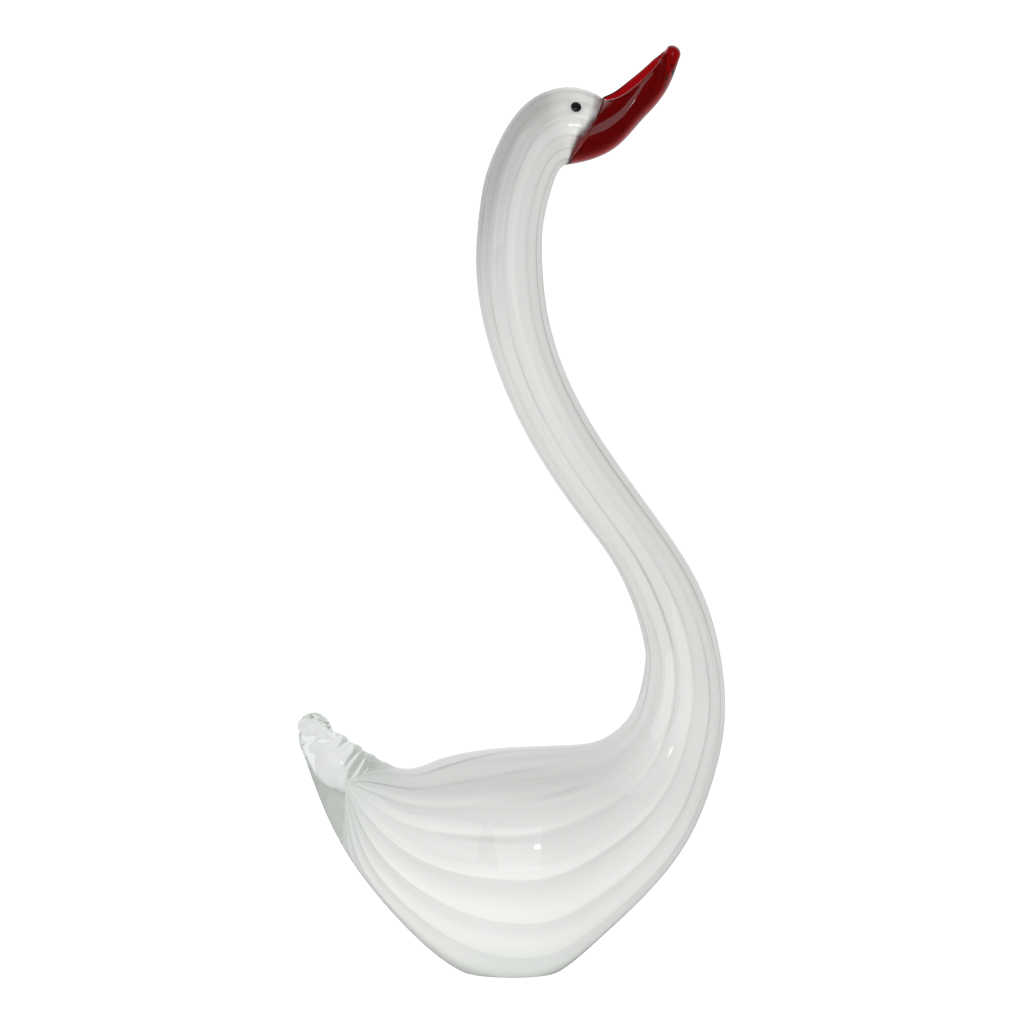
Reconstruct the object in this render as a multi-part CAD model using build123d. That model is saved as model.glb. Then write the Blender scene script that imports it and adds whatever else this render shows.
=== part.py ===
from build123d import *
from dataclasses import dataclass
from math import cos, pi, radians, sin, sqrt
import os

# Wine decanter: a hand-blown glass swan whose open beak is the mouth and lip.
#
# Frame: +X towards the breast and beak, +Y to the swan's left, +Z up.
# The origin is the middle of the flat foot. All lengths are millimetres.
#
# The hollow bird is one blown bubble of two layers of glass. Its shape is a
# string of oval rings running from the rump along the body, up the S-shaped
# neck and over the head to the mouth. Each ring is given by the point where it
# meets the front line (belly, breast, front of the neck, throat), the heading
# of the bubble there, and its depth from the front line to the back line.
# Body rings are placed from the foot, neck rings from the breast, head rings
# from the throat, the beak's from the mouth and the tail's from the haunch.

# --- driving dimensions -----------------------------------------------------
BODY_LENGTH = 183.0         # rump to breast, along the body
BODY_DEPTH = 115.0          # deepest ring of the body
BODY_WIDTH = 104.0          # the same ring, side to side
NECK_RISE = 301.0           # breast to throat, upwards
NECK_BACK = 75.0            # breast to throat, back towards the tail
NECK_DEPTH = 30.4           # slimmest ring of the neck, front to back
NECK_WIDTH = 30.4           # the same ring, side to side
HEAD_DEPTH = 39.0           # deepest ring of the head
HEAD_WIDTH = 31.5           # the same ring, side to side

BODY_CASING = 1.8           # clear layer over the body
NECK_CASING = 1.1           # clear layer over the neck and head
BODY_WHITE = 1.5            # white layer in the body, at a rib crest
NECK_WHITE = 1.2            # white layer in the neck and head, at a rib crest
FOOT_HEEL = 5.2             # extra clear glass gathered under the belly

RIB_COUNT = 16              # optic ribs of the white layer, an even number
RIB_RELIEF = 0.7            # crest to valley, on the deepest ring

BEAK_REACH = 57.2           # throat to nose, forwards
BEAK_RISE = 52.0            # throat to nose, upwards
BEAK_WALL = 2.2             # red glass along the keel of the scoop
RIM_WALL = 1.4              # red glass up the sides of the scoop
SLEEVE_WALL = 1.5           # red glass lapped inside the head
SLEEVE_TURN = 14.0          # degrees of the head's bend that the sleeve laps
NOSE_RADIUS = 4.2           # round solid tip of the beak

EYE_DIAMETER = 5.2
EYE_HEIGHT = 1.2            # how far an eye stands out of the head
EYE_DROP = 8.1              # eye below the crown

TAIL_REACH = 35.5           # haunch to knob, backwards
TAIL_RISE = 75.6            # haunch to knob, upwards
TAIL_STEP = 0.6             # ends of the tail glass, proud of the casing
TAIL_SINK = 1.2             # sides of the tail glass, below the casing's face there
KNOB_RADIUS = 8.8
CRIMP_COUNT = 4             # jack marks along the ridge of the tail
CRIMP_RADIUS = 6.0
CRIMP_BITE = 1.0


@dataclass
class Ring:
    """An oval section of the glass, standing square to the bubble's heading."""

    x: float                # where it meets the front line
    z: float
    heading: float          # way the bubble runs, degrees up from +X
    depth: float            # from the front line to the back line
    width: float            # side to side
    casing: float = 0.0     # thickness of the clear layer here
    white: float = 0.0      # thickness of the white layer here
    heel: float = 0.0       # extra clear glass on the front line

    def up(self):
        """Unit step from the front line towards the back line."""
        return Vector(-sin(radians(self.heading)), 0, cos(radians(self.heading)))

    def along(self):
        """Unit step along the bubble."""
        return Vector(cos(radians(self.heading)), 0, sin(radians(self.heading)))

    def point(self, share):
        """Point between the front line (0) and the back line (1)."""
        return Vector(self.x, 0, self.z) + self.up() * (self.depth * share)

    def rim_point(self, turn, relief=0.0):
        """Point of the outline, turned round from the back line to one side."""
        valley = relief * sqrt(self.depth / BODY_DEPTH) * (1 - cos(RIB_COUNT * turn)) / 2
        high = (self.depth / 2 - valley) * cos(turn)
        wide = (self.width / 2 - valley) * sin(turn)
        return self.point(0.5) + self.up() * high + Vector(0, wide, 0)

    def inset(self, front, back, side):
        """The ring of a layer that lies inside this one."""
        foot = Vector(self.x, 0, self.z) + self.up() * front
        depth = self.depth - front - back
        width = self.width - 2 * side
        return Ring(foot.X, foot.Z, self.heading, depth, width)


def body_ring(length_share, depth_share, heading, share, heel_share=0.0):
    """A ring of the body, placed from the foot and sized from the deepest ring."""
    x = BODY_LENGTH * length_share
    z = BODY_DEPTH * depth_share
    depth = BODY_DEPTH * share
    width = BODY_WIDTH * share
    return Ring(x, z, heading, depth, width, BODY_CASING, BODY_WHITE, FOOT_HEEL * heel_share)


BREAST = body_ring(0.552, 0.849, 45.5, 0.460)
HAUNCH = body_ring(-0.384, 0.384, -16.8, 0.520)


def neck_ring(back_share, rise_share, heading, share):
    """A ring of the neck, placed from the breast and sized from the slimmest ring."""
    x = BREAST.x - NECK_BACK * back_share
    z = BREAST.z + NECK_RISE * rise_share
    return Ring(x, z, heading, NECK_DEPTH * share, NECK_WIDTH * share, NECK_CASING, NECK_WHITE)


def head_ring(back_share, drop_share, heading, depth_share, width_share):
    """A ring of the head, placed from the throat. These fan out from there."""
    x = BREAST.x - NECK_BACK - HEAD_DEPTH * back_share
    z = BREAST.z + NECK_RISE - HEAD_DEPTH * drop_share
    depth = HEAD_DEPTH * depth_share
    width = HEAD_WIDTH * width_share
    return Ring(x, z, heading, depth, width, NECK_CASING, NECK_WHITE)


BROW = head_ring(0.013, 0.010, -9.3, 1.0, 1.0)
MOUTH = head_ring(0.0, 0.0, -31.2, 0.972, 0.98)

RINGS = [
    body_ring(-0.430, 0.637, -16.3, 0.243),
    HAUNCH,
    body_ring(-0.243, 0.134, -6.2, 0.788, 0.3),
    body_ring(-0.098, -0.020, -2.8, 0.975, 1.0),
    body_ring(0.079, -0.035, 2.5, 1.0, 1.0),
    body_ring(0.234, 0.134, 8.2, 0.843, 0.3),
    body_ring(0.378, 0.349, 18.0, 0.675),
    body_ring(0.485, 0.577, 29.4, 0.563),
    BREAST,
    neck_ring(-0.065, 0.103, 63.5, 1.460),
    neck_ring(0.001, 0.233, 101.8, 1.171),
    neck_ring(0.301, 0.389, 122.7, 1.007),
    neck_ring(0.556, 0.478, 126.0, 0.993),
    neck_ring(0.803, 0.570, 121.5, 1.0),
    neck_ring(1.105, 0.756, 102.2, 1.043),
    neck_ring(1.143, 0.848, 91.6, 1.066),
    neck_ring(1.127, 0.917, 78.1, 1.056),
    head_ring(0.082, 0.095, 61.8, 0.833, 1.01),
    head_ring(0.046, 0.044, 36.3, 0.897, 1.02),
    head_ring(0.023, 0.023, 12.7, 0.974, 1.02),
    BROW,
    MOUTH,
]

# The bubble closes at the rump, where it points up and back.
RUMP = Vector(-0.448 * BODY_LENGTH, 0, 0.831 * BODY_DEPTH)
RUMP_RISE = 35.0            # degrees up from -X


def beak_ring(reach_share, rise_share, heading, depth_share, width_share):
    """A ring of the beak, placed on its keel from the throat and sized from the mouth."""
    x = MOUTH.x + BEAK_REACH * reach_share
    z = MOUTH.z + BEAK_RISE * rise_share
    return Ring(x, z, heading, MOUTH.depth * depth_share, MOUTH.width * width_share)


BEAK_RINGS = [
    beak_ring(0.456, 0.170, -1.0, 0.800, 0.952),
    beak_ring(0.652, 0.394, 13.6, 0.670, 0.888),
    beak_ring(0.788, 0.551, 18.7, 0.670, 0.765),
    beak_ring(0.914, 0.755, 28.2, 0.530, 0.570),
]
NOSE = Ring(MOUTH.x + BEAK_REACH, MOUTH.z + BEAK_RISE, 62.0, 2 * NOSE_RADIUS, 2 * NOSE_RADIUS)

# The open top of the beak is sheared along a line from the top of the mouth.
# Its points are shares of the reach and of the rise of the beak.
RIM_LINE = [(0.0, 0.0), (0.095, 0.029), (0.225, 0.122), (0.393, 0.279), (0.505, 0.410), (0.571, 0.497)]


def tail_ring(reach_share, rise_share, heading, depth_share, width_share):
    """A ring of the tail, placed on its rear line and sized from the haunch."""
    x = HAUNCH.x - TAIL_REACH * reach_share
    z = HAUNCH.z + TAIL_RISE * rise_share
    return Ring(x, z, heading, HAUNCH.depth * depth_share, HAUNCH.width * width_share)


# The tail is drawn back and up from the haunch to its knob.
KNOB = Ring(HAUNCH.x - TAIL_REACH, HAUNCH.z + TAIL_RISE, -80.0, 2 * KNOB_RADIUS, 2 * KNOB_RADIUS)
TAIL_ROOT = HAUNCH.inset(-TAIL_STEP, -TAIL_STEP, TAIL_SINK)
TAIL_RINGS = [
    TAIL_ROOT,
    tail_ring(0.406, 0.292, -21.8, 0.763, 0.621),
    tail_ring(0.682, 0.574, -30.4, 0.542, 0.344),
    tail_ring(0.879, 0.823, -51.7, 0.358, 0.277),
    KNOB,
]


def half_outline(ring, relief, steps):
    """Curve along one side of a ring, from the back line to the front line."""
    points = [ring.rim_point(pi * k / steps, relief) for k in range(steps + 1)]
    across = Vector(0, pi * ring.width / 2, 0)
    shares = [k / steps for k in range(steps + 1)]
    return Edge.make_spline(points, [across, -across], parameters=shares, scale=False)


def skin(rings, relief, start, end):
    """One side of the glass as a smooth surface over its rings and the lines that cross them."""
    quarters = 4
    steps = quarters * (RIB_COUNT // 2 if relief else 2)
    starts = [start] if start else []
    ends = [end] if end else []
    profiles = starts + [half_outline(ring, relief, steps) for ring in rings] + ends
    lines = []
    for k in range(quarters + 1):
        crossings = [ring.rim_point(pi * k / quarters, relief) for ring in rings]
        lines.append(Edge.make_spline(starts + crossings + ends))
    return Face.make_gordon_surface(profiles, lines)


def drawn_glass(rings, relief=0.0, start=None, end=None):
    """Solid through the rings, closed at each end by a point or else by a flat face."""
    side = skin(rings, relief, start, end)
    faces = [side, side.mirror(Plane.XZ)]
    for edge in side.edges():
        if abs(edge.position_at(0.5).Y) > 1:
            faces.append(Face(Wire([edge, edge.mirror(Plane.XZ)])))
    return Solid(Shell(faces))


def round_end(ring, way):
    """Rings and a last point that close a round end beyond a ring, forwards (1) or back (-1)."""
    radius = ring.depth / 2
    middle = ring.point(0.5)
    rings = []
    for angle in (30, 60):
        size = ring.depth * cos(radians(angle))
        foot = middle + ring.along() * (way * radius * sin(radians(angle))) - ring.up() * (size / 2)
        rings.append(Ring(foot.X, foot.Z, ring.heading, size, size))
    return rings, middle + ring.along() * (way * radius)


def rump_point(gap):
    """Point where a bubble closes, the given gap inside the outermost one."""
    rise = radians(RUMP_RISE)
    return RUMP + Vector(cos(rise), 0, -sin(rise)) * gap


def outer_bubble():
    """All that lies inside the outer face of the clear casing."""
    return drawn_glass(RINGS, start=rump_point(0))


def white_bubble():
    """All that lies inside the ribbed face where the two layers meet."""
    rings = [r.inset(r.casing + r.heel, r.casing, r.casing) for r in RINGS]
    return drawn_glass(rings, RIB_RELIEF, start=rump_point(BODY_CASING))


def chamber():
    """The hollow that the wine stands in."""
    rings = []
    for ring in RINGS:
        wall = ring.casing + ring.white
        rings.append(ring.inset(wall + ring.heel, wall, wall))
    return drawn_glass(rings, start=rump_point(BODY_CASING + 2 * BODY_WHITE))


def clear_casing(outer, white):
    """Clear layer, ground flat under the belly so that it stands."""
    ground = Pos(0, 0, -BODY_DEPTH) * Box(2 * BODY_DEPTH, 2 * BODY_WIDTH, 2 * BODY_DEPTH)
    return outer - white - ground


def sleeve(hollow):
    """Red glass lapped inside the head, between the mouth and a plane behind it."""
    lap = MOUTH.heading + SLEEVE_TURN
    reach = 2 * HEAD_DEPTH
    throat = Vector(MOUTH.x, 0, MOUTH.z)
    back = throat + Vector(-sin(radians(lap)), 0, cos(radians(lap))) * reach
    wedge = make_face(Polyline(throat, back, throat + MOUTH.up() * reach, close=True))
    return hollow & extrude(wedge, amount=HEAD_WIDTH, both=True)


def bore():
    """The channel through the sleeve and the scoop, running out where the nose begins."""
    rings = []
    for ring in RINGS[-3:]:
        wall = ring.casing + ring.white + SLEEVE_WALL
        rings.append(ring.inset(wall, wall, wall))
    rings += [r.inset(BEAK_WALL, RIM_WALL, RIM_WALL) for r in BEAK_RINGS]
    return drawn_glass(rings, end=NOSE.point(1))


def shears():
    """Everything above the rim line, in front of the mouth."""
    top = MOUTH.point(1)
    clear = Vector(0, 0, BEAK_RISE)
    rim = Spline(*[top + Vector(BEAK_REACH * along, 0, BEAK_RISE * up) for along, up in RIM_LINE])
    over = Polyline(rim @ 1, rim @ 1 + clear, top + clear, top)
    return extrude(make_face(Curve() + [rim, over]), amount=HEAD_WIDTH, both=True)


def beak(hollow):
    """Red scoop with its sleeve, open along the top and round at the nose."""
    nose, tip = round_end(NOSE, 1)
    horn = drawn_glass([MOUTH] + BEAK_RINGS + [NOSE] + nose, end=tip)
    return horn + sleeve(hollow) - bore() - shears()


def eye(outer, side):
    """Black glass dot melted onto the head, on the side of the given sign."""
    high = BROW.depth / 2 - EYE_DROP
    sine = sqrt(1 - (2 * high / BROW.depth) ** 2)
    seat = BROW.point(0.5) + BROW.up() * high + Vector(0, side * sine * BROW.width / 2, 0)
    outward = BROW.up() * (4 * high / BROW.depth ** 2) + Vector(0, side * 2 * sine / BROW.width, 0)
    radius = ((EYE_DIAMETER / 2) ** 2 + EYE_HEIGHT ** 2) / (2 * EYE_HEIGHT)
    middle = seat - outward.normalized() * (radius - EYE_HEIGHT)
    return Plane(origin=middle, z_dir=outward) * Sphere(radius) - outer


def tail(outer):
    """Clear tail drawn off the rump, crimped along its ridge and knobbed."""
    knob, tip = round_end(KNOB, -1)
    solid = drawn_glass(TAIL_RINGS + knob, end=tip)
    ridge = Spline(*[ring.point(1) for ring in TAIL_RINGS])
    for k in range(CRIMP_COUNT):
        share = (k + 0.5) / (CRIMP_COUNT + 1)
        run = ridge % share
        off = Vector(-run.Z, 0, run.X) * (CRIMP_BITE - CRIMP_RADIUS)
        solid -= Pos(ridge @ share + off) * Rot(90, 0, 0) * Cylinder(CRIMP_RADIUS, 2 * TAIL_ROOT.width)
    return solid - outer


def main():
    """Write each piece of glass to its own file."""
    outer = outer_bubble()
    white = white_bubble()
    hollow = chamber()
    pieces = {
        "clear_casing": clear_casing(outer, white),
        "white_layer": white - hollow,
        "beak": beak(hollow),
        "eye_left": eye(outer, 1),
        "eye_right": eye(outer, -1),
        "tail": tail(outer),
    }
    os.makedirs("parts", exist_ok=True)
    for name, shape in pieces.items():
        export_step(shape, f"parts/{name}.step")


if __name__ == "__main__":
    main()
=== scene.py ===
"""Hand-blown glass swan wine decanter: surfaces, finishes and studio.

The frame is the part's own: origin in the middle of the flat foot, +X towards
the breast and beak, +Y to the swan's left, +Z up, metres. Ring tables are in
millimetres and are turned into metres where a mesh is made.
"""

import logging
import math
from collections.abc import Sequence
from dataclasses import dataclass
from enum import Enum

import bmesh
import bpy
import numpy as np
from bpy.types import ID, Material, Mesh, Node, NodeInputs, NodeSocket, NodeTree, Object
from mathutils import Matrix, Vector


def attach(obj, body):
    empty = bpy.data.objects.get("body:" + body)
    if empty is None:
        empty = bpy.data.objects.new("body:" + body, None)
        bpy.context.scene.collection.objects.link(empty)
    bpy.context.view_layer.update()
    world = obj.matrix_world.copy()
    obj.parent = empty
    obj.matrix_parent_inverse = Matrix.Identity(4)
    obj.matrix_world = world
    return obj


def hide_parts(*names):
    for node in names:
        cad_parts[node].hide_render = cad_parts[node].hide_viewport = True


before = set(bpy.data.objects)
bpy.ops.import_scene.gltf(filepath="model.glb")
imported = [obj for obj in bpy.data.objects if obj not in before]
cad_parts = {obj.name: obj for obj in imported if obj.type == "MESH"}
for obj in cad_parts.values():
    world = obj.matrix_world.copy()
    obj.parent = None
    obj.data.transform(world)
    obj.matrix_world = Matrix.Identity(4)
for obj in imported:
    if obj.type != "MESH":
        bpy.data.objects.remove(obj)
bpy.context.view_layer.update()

log = logging.getLogger("swan")

MM = 0.001
Array = np.ndarray
Pair = tuple[float, float]
Triple = tuple[float, float, float]
Four = tuple[float, float, float, float]


class Slot(Enum):
    """Material slots of the record."""

    CLEAR = "clear_glass"
    WHITE = "white_glass"
    RED = "red_glass"
    BLACK = "black_glass"


# ---- Surfaces ----
def in_plane(x: Array, z: Array) -> Array:
    """Vectors in the bird's middle plane, one a row."""
    return np.stack([x, np.zeros_like(x), z], axis=1)


@dataclass(frozen=True)
class Rings:
    """Oval sections that a surface is drawn through, one row for each ring.

    Columns: x and z of the point on the front line (belly, breast, throat),
    heading in degrees up from +X, depth from the front line to the back line,
    and width from side to side. All lengths are millimetres.
    """

    table: Array

    @property
    def heading(self) -> Array:
        """Headings in radians."""
        return np.radians(self.table[:, 2])

    def up(self) -> Array:
        """Unit steps from the front line towards the back line, rings x 3."""
        return in_plane(-np.sin(self.heading), np.cos(self.heading))

    def along(self) -> Array:
        """Unit steps square to each ring, rings x 3."""
        return in_plane(np.cos(self.heading), np.sin(self.heading))

    def foot(self) -> Array:
        """Points on the front line, rings x 3."""
        return in_plane(self.table[:, 0], self.table[:, 1])

    def inset(self, front: Array, gap: Array) -> "Rings":
        """Rings of a surface that lies inside this one, with the same headings.

        Args:
            front: gap at the front line, one value a ring.
            gap: gap at the back line and at either side.

        Returns:
            The inner rings.
        """
        foot = self.foot() + self.up() * front[:, None]
        table = self.table.copy()
        table[:, :2] = foot[:, ::2]
        table[:, 3] -= front + gap
        table[:, 4] -= 2 * gap
        return Rings(table)

    def outline(self, turns: Array, valley: Array | float = 0.0) -> Array:
        """Points round every ring.

        From the ring's middle a point lies its half depth times the cosine of
        the turn up, and its half width times the sine sideways. The turn is
        counted from the back line towards the swan's left.

        Args:
            turns: angles in radians.
            valley: how far the outline is drawn in, rings x turns.

        Returns:
            Points, rings x turns x 3.
        """
        middle = self.foot() + self.up() * (self.table[:, 3:4] / 2)
        high = (self.table[:, 3:4] / 2 - valley) * np.cos(turns)
        wide = (self.table[:, 4:5] / 2 - valley) * np.sin(turns)
        points = middle[:, None, :] + self.up()[:, None, :] * high[:, :, None]
        points[:, :, 1] += wide
        return points

    def joined(self, other: "Rings") -> "Rings":
        """These rings followed by the others."""
        return Rings(np.vstack([self.table, other.table]))

    def turned_back(self) -> "Rings":
        """The rings in the opposite order."""
        return Rings(self.table[::-1])


def new_object(name: str, data: ID) -> Object:
    """Put an object into the scene.

    Args:
        name: its name.
        data: its mesh, lamp or camera.

    Returns:
        The object.
    """
    made = bpy.data.objects.new(name, data)
    bpy.context.scene.collection.objects.link(made)
    return made


def circle(columns: int) -> Array:
    """Evenly spaced angles of one full turn."""
    return np.linspace(0, 2 * np.pi, columns, endpoint=False)


def ramp(value: Array, low: float | Array, high: float | Array) -> Array:
    """How far a value has come from low to high, held between 0 and 1."""
    return np.clip((value - low) / (high - low), 0, 1)


def knots_of(points: Array) -> Array:
    """Running distance over a stack of rows: the mean step of their points, added up."""
    steps = np.linalg.norm(np.diff(points, axis=0), axis=2).mean(axis=1)
    return np.concatenate([[0.0], np.cumsum(steps)])


def smooth_rows(points: Array, knots: Array, at: Array) -> Array:
    """Carry a smooth curve through every column of a stack of rows.

    Each span is a cubic, and the curvature agrees on both sides of every inner
    row. The first and last slopes are those of a parabola through three rows.

    Args:
        points: rows x columns x 3.
        knots: distance of each row.
        at: distances wanted.

    Returns:
        Points, wanted rows x columns x 3.
    """
    count = len(knots)
    flat = points.reshape(count, -1)
    gap = np.diff(knots)
    slope = np.diff(flat, axis=0) / gap[:, None]
    system = np.eye(count)
    right = np.zeros_like(flat)
    inner = np.arange(1, count - 1)
    system[inner, inner - 1] = gap[1:]
    system[inner, inner] = 2 * (gap[:-1] + gap[1:])
    system[inner, inner + 1] = gap[:-1]
    right[inner] = 3 * (gap[1:, None] * slope[:-1] + gap[:-1, None] * slope[1:])
    right[0] = ((2 * gap[0] + gap[1]) * slope[0] - gap[0] * slope[1]) / (gap[0] + gap[1])
    right[-1] = ((2 * gap[-1] + gap[-2]) * slope[-1] - gap[-1] * slope[-2]) / (gap[-1] + gap[-2])
    tangent = np.linalg.solve(system, right)
    span = np.clip(np.searchsorted(knots, at, side="right") - 1, 0, count - 2)
    width = gap[span][:, None]
    part = ((at - knots[span]) / gap[span])[:, None]
    rise = 3 * part**2 - 2 * part**3
    lead = (part**3 - 2 * part**2 + part) * width * tangent[span]
    trail = (part**3 - part**2) * width * tangent[span + 1]
    rows = flat[span] * (1 - rise) + flat[span + 1] * rise + lead + trail
    return rows.reshape(len(at), *points.shape[1:])


def drawn_in(rows: Array, depth: Array) -> Array:
    """Move every point straight towards the middle of its row.

    Args:
        rows: rows x columns x 3.
        depth: how far each point moves, rows x columns.

    Returns:
        The moved points.
    """
    outwards = rows - rows.mean(axis=1, keepdims=True)
    length = np.maximum(np.linalg.norm(outwards, axis=-1, keepdims=True), 1e-6)
    return rows - outwards / length * depth[..., None]


def pole(point: Array, columns: int) -> Array:
    """A row whose points all lie in one place."""
    return np.broadcast_to(np.asarray(point, dtype=float), (1, columns, 3))


def ring_grid_faces(rows: int, columns: int) -> Array:
    """Quads between neighbouring closed rows.

    Args:
        rows: how many rows there are.
        columns: points in each; the last is joined to the first.

    Returns:
        Point numbers, quads x 4.
    """
    row, column = np.meshgrid(np.arange(rows - 1), np.arange(columns), indexing="ij")
    here = row * columns
    after = here + (column + 1) % columns
    return np.stack([here + column, after, after + columns, here + column + columns], axis=-1).reshape(-1, 4)


def fan_faces(apex: int, first: int, columns: int, outwards: bool) -> Array:
    """Triangles from a pole to the row beside it.

    Args:
        apex: the pole's point number.
        first: number of the row's first point.
        columns: points in the row.
        outwards: whether the pole follows the row, which turns the triangles over.

    Returns:
        Point numbers, triangles x 3.
    """
    here = first + np.arange(columns)
    after = np.roll(here, -1)
    pair = (after, here) if outwards else (here, after)
    return np.stack([np.full(columns, apex), *pair], axis=-1)


@dataclass
class Skin:
    """A closed surface made of closed rows between two poles."""

    name: str
    rows: Array  # rows x columns x 3, millimetres
    start: Array | None = None  # pole before the first row
    end: Array | None = None  # pole after the last row
    around: Array | None = None  # pattern coordinate of each column
    along: Array | None = None  # pattern coordinate of each row
    loops: bool = False  # the last row joins the first
    milk: Array | None = None  # density of the milk, rows x columns

    def build(self) -> Object:
        """Put the rows, poles and pattern coordinates into one mesh object.

        Returns:
            The object, with its faces turned outwards.
        """
        count, columns, _ = self.rows.shape
        faces = [ring_grid_faces(count, columns)]
        points = [self.rows.reshape(-1, 3)]
        total = count * columns
        last = total - columns
        if self.loops:
            seam = ring_grid_faces(2, columns)
            faces.append(np.where(seam < columns, seam + last, seam - columns))
        for point, first, outwards in ((self.start, 0, False), (self.end, last, True)):
            if point is not None:
                points.append(np.asarray(point, dtype=float)[None])
                faces.append(fan_faces(total, first, columns, outwards))
                total += 1
        mesh = bpy.data.meshes.new(self.name)
        corners = [face.tolist() for block in faces for face in block]
        mesh.from_pydata((np.vstack(points) * MM).tolist(), [], corners)
        if self.milk is not None:
            values = np.append(self.milk.ravel(), [self.milk[0].mean(), self.milk[-1].mean()])
            layer = mesh.attributes.new("milk", "FLOAT", "POINT")
            layer.data.foreach_set("value", values.astype(np.float32))
        if self.around is not None and self.along is not None:
            self.write_pattern(mesh)
        piece = new_object(self.name, mesh)
        mend(piece)
        return piece

    def write_pattern(self, mesh: Mesh) -> None:
        """Write the pattern coordinates as a UV map.

        A face over the seam takes one more than 0 there, so that it runs on
        past the last column. A pole takes the largest value of its own face.

        Args:
            mesh: the mesh of the rows and poles.
        """
        count, columns, _ = self.rows.shape
        layer = mesh.uv_layers.new(name="pattern")
        index = np.empty(len(mesh.loops), dtype=np.int64)
        mesh.loops.foreach_get("vertex_index", index)
        sizes = np.empty(len(mesh.polygons), dtype=np.int64)
        mesh.polygons.foreach_get("loop_total", sizes)
        inside = index < count * columns
        u = np.append(self.around, 0.0)[np.where(inside, index % columns, columns)]
        v = self.along[np.where(inside, index // columns, 0)]
        face = np.repeat(np.arange(len(sizes)), sizes)
        top = np.zeros(len(sizes))
        np.maximum.at(top, face, np.where(inside, u, 0.0))
        u = np.where(inside & (top[face] - u > 0.5), u + 1.0, u)
        u = np.where(inside, u, top[face])
        layer.data.foreach_set("uv", np.stack([u, v], axis=1).astype(np.float32).ravel())


def mend(piece: Object, merge: float = 1e-6, flat: float = 1e-7, close: bool = False) -> None:
    """Merge points that touch, drop faces with no area, and turn the rest outwards.

    Args:
        piece: the object.
        merge: distance in metres within which points become one.
        flat: length below which a face has no area.
        close: whether open ends are filled.
    """
    work = bmesh.new()
    work.from_mesh(piece.data)
    bmesh.ops.remove_doubles(work, verts=work.verts, dist=merge)
    bmesh.ops.dissolve_degenerate(work, edges=work.edges, dist=flat)
    if close:
        bmesh.ops.holes_fill(work, edges=[edge for edge in work.edges if edge.is_boundary], sides=0)
    bmesh.ops.recalc_face_normals(work, faces=work.faces)
    work.to_mesh(piece.data)
    work.free()
    piece.data.polygons.foreach_set("use_smooth", np.ones(len(piece.data.polygons), dtype=bool))


def join(piece: Object, other: Object) -> None:
    """Add another object's mesh to a piece and drop the other object.

    Args:
        piece: the object that stays.
        other: the object whose mesh it takes.
    """
    work = bmesh.new()
    work.from_mesh(piece.data)
    work.from_mesh(other.data)
    work.to_mesh(piece.data)
    work.free()
    bpy.data.objects.remove(other)


# ---- The shape of the bird ----
FOOT_HEEL = 5.2  # extra clear glass under the belly
RIB_COUNT = 16
RIB_RELIEF = 0.7  # depth of the valleys between ribs on the body


class Part(Enum):
    """Which stretch of the bubble a ring belongs to, with its full sizes and its two walls."""

    BODY = (115.0, 104.0, 1.8, 1.5)
    NECK = (30.4, 30.4, 1.1, 1.2)
    HEAD = (39.0, 31.5, 1.1, 1.2)

    def __init__(self, depth: float, width: float, casing: float, white: float) -> None:
        """Name the four lengths."""
        self.depth, self.width, self.casing, self.white = depth, width, casing, white


# part, x, z, heading, share of depth, share of width, share of the heel
BUBBLE = [
    (Part.BODY, -78.7, 73.2, -16.3, 0.243, 0.243, 0.0),
    (Part.BODY, -70.2, 44.2, -16.8, 0.520, 0.520, 0.0),
    (Part.BODY, -44.4, 15.4, -6.2, 0.788, 0.788, 0.3),
    (Part.BODY, -18.0, -2.3, -2.8, 0.975, 0.975, 1.0),
    (Part.BODY, 14.4, -4.0, 2.5, 1.0, 1.0, 1.0),
    (Part.BODY, 42.8, 15.4, 8.2, 0.843, 0.843, 0.3),
    (Part.BODY, 69.2, 40.1, 18.0, 0.675, 0.675, 0.0),
    (Part.BODY, 88.8, 66.3, 29.4, 0.563, 0.563, 0.0),
    (Part.BODY, 101.1, 97.6, 45.5, 0.460, 0.460, 0.0),
    (Part.NECK, 106.0, 128.7, 63.5, 1.460, 1.460, 0.0),
    (Part.NECK, 101.0, 167.7, 101.8, 1.171, 1.171, 0.0),
    (Part.NECK, 78.5, 214.6, 122.7, 1.007, 1.007, 0.0),
    (Part.NECK, 59.4, 241.6, 126.0, 0.993, 0.993, 0.0),
    (Part.NECK, 40.9, 269.2, 121.5, 1.0, 1.0, 0.0),
    (Part.NECK, 18.2, 325.3, 102.2, 1.043, 1.043, 0.0),
    (Part.NECK, 15.4, 352.9, 91.6, 1.066, 1.066, 0.0),
    (Part.NECK, 16.6, 373.8, 78.1, 1.056, 1.056, 0.0),
    (Part.HEAD, 22.9, 395.0, 61.8, 0.833, 1.01, 0.0),
    (Part.HEAD, 24.3, 397.0, 36.3, 0.897, 1.02, 0.0),
    (Part.HEAD, 25.2, 397.8, 12.7, 0.974, 1.02, 0.0),
    (Part.HEAD, 25.6, 398.3, -9.3, 1.0, 1.0, 0.0),
    (Part.HEAD, 26.1, 398.7, -31.2, 0.972, 0.98, 0.0),
]
HAUNCH = 1  # ring where the tail glass takes over
BROW, MOUTH = 20, 21

# x, z, heading, depth, width
TAIL = Rings(np.array([
    (-105.7, 119.8, -80.0, 17.6, 17.6),
    (-101.4, 106.4, -51.7, 21.4, 15.0),
    (-94.4, 87.6, -30.4, 32.4, 18.6),
    (-84.6, 66.3, -21.8, 45.6, 33.6),
]))
BEAK = Rings(np.array([
    (52.1, 407.5, -1.0, 30.3, 29.4),
    (63.3, 419.1, 13.6, 25.4, 27.4),
    (71.1, 427.3, 18.7, 25.4, 23.6),
    (78.3, 437.9, 28.2, 20.1, 17.6),
    (83.2, 450.6, 62.0, 8.4, 8.4),
]))
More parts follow.
